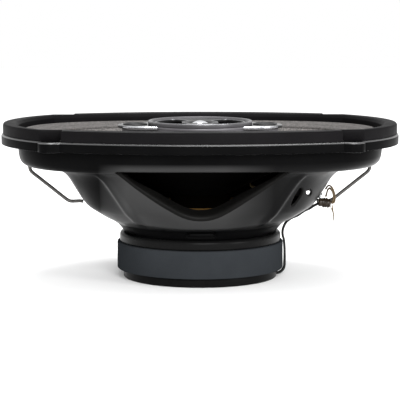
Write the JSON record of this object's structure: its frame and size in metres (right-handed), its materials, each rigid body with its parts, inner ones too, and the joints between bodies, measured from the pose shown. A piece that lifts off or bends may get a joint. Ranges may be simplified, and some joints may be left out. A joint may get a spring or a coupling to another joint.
{
  "type": "coaxial car speaker",
  "caption": "Oval car loudspeaker with a woofer cone in a pressed steel basket, a ferrite motor, and a post-mounted pod with a midrange and dome tweeters.",
  "frame": {"origin": "centre of the four panel screw holes, on the plane where the flange meets the panel", "axes": "+X along the long side of the oval towards the terminals, +Y across it, +Z out of the panel towards the listener"},
  "size_m": [0.238, 0.166, 0.0942],
  "materials": {
    "basket_paint": "semi-gloss black powder coat on pressed steel",
    "gasket_foam": "closed-cell foam, matte",
    "trim_plastic": "moulded, fine satin grain",
    "motor_plate": "black plated steel, smooth",
    "ferrite": "sintered, ground, satin grey",
    "zinc_steel": "bright zinc",
    "surround_cloth": "coated cloth, matte",
    "cone_poly": "mica-filled, speckled",
    "former_film": "amber film",
    "copper_wire": "enamelled copper",
    "spider_cloth": "resin-dipped cloth",
    "tinsel_braid": "braided tinsel",
    "pod_gloss": "polished black",
    "pod_satin": "satin black",
    "bezel_metal": "dark chrome",
    "dome_silver": "polished",
    "mid_paper": "pressed pulp, coated",
    "mid_metal": "plated",
    "board_phenolic": "laminated board",
    "terminal_tin": "tinned brass",
    "capacitor_sleeve": "shrink sleeve",
    "lead_wire_gold": "bare lead",
    "lead_black": "black insulation"
  },
  "bodies": {
    "chassis": {"basket": "basket_paint", "panel_gasket": "gasket_foam", "trim_ring": "trim_plastic", "top_plate": "motor_plate", "ferrite_magnet": "ferrite", "yoke": "motor_plate", "basket_rivets": "zinc_steel", "surround": "surround_cloth", "spider": "spider_cloth", "tinsel_lead_pos": "tinsel_braid", "tinsel_lead_neg": "tinsel_braid", "tweeter_post": "pod_satin", "post_nut": "zinc_steel", "post_top_nut": "zinc_steel", "pod_housing": "pod_satin", "pod_cover": "pod_gloss", "pod_bezel": "bezel_metal", "pod_grille": "pod_satin", "mid_yoke": "mid_metal", "mid_magnet": "ferrite", "mid_top_plate": "mid_metal", "mid_frame": "pod_satin", "mid_surround": "surround_cloth", "center_tweeter_cup": "pod_satin", "center_tweeter_magnet": "mid_metal", "wing_tweeter_rim_left": "pod_satin", "wing_tweeter_rim_right": "pod_satin", "wing_tweeter_magnet_left": "mid_metal", "wing_tweeter_magnet_right": "mid_metal", "terminal_board": "board_phenolic", "terminal_positive": "terminal_tin", "terminal_negative": "terminal_tin", "terminal_rivets": "zinc_steel", "crossover_capacitor": "capacitor_sleeve", "capacitor_leads": "lead_wire_gold", "lead_wire_a": "lead_black", "lead_wire_b": "lead_black", "brace_wire_left": "zinc_steel", "brace_wire_right": "zinc_steel"},
    "cone_assembly": {"woofer_cone": "cone_poly", "voice_coil_former": "former_film", "voice_coil_winding": "copper_wire"},
    "mid_assembly": {"mid_cone": "mid_paper", "mid_voice_coil": "copper_wire"},
    "center_dome_body": {"center_dome": "dome_silver"},
    "wing_dome_left_body": {"wing_dome_left": "dome_silver"},
    "wing_dome_right_body": {"wing_dome_right": "dome_silver"}
  },
  "joints": [
    {"name": "cone_travel", "type": "slide", "parent": "chassis", "child": "cone_assembly", "axis": [0, 0, 1], "range_m": [-0.005, 0.005], "stiffness_N_per_m": 3000, "deforming": ["surround", "spider", "tinsel_lead_pos", "tinsel_lead_neg"]},
    {"name": "mid_travel", "type": "slide", "parent": "chassis", "child": "mid_assembly", "axis": [0, 0, 1], "range_m": [-0.0006, 0.0006], "stiffness_N_per_m": 4000, "deforming": ["mid_surround"]},
    {"name": "center_dome_travel", "type": "slide", "parent": "chassis", "child": "center_dome_body", "axis": [0, 0, 1], "range_m": [-0.00015, 0.00015], "stiffness_N_per_m": 3000},
    {"name": "wing_dome_left_travel", "type": "slide", "parent": "chassis", "child": "wing_dome_left_body", "axis": [0, 0, 1], "range_m": [-0.00015, 0.00015], "stiffness_N_per_m": 3000},
    {"name": "wing_dome_right_travel", "type": "slide", "parent": "chassis", "child": "wing_dome_right_body", "axis": [0, 0, 1], "range_m": [-0.00015, 0.00015], "stiffness_N_per_m": 3000}
  ]
}
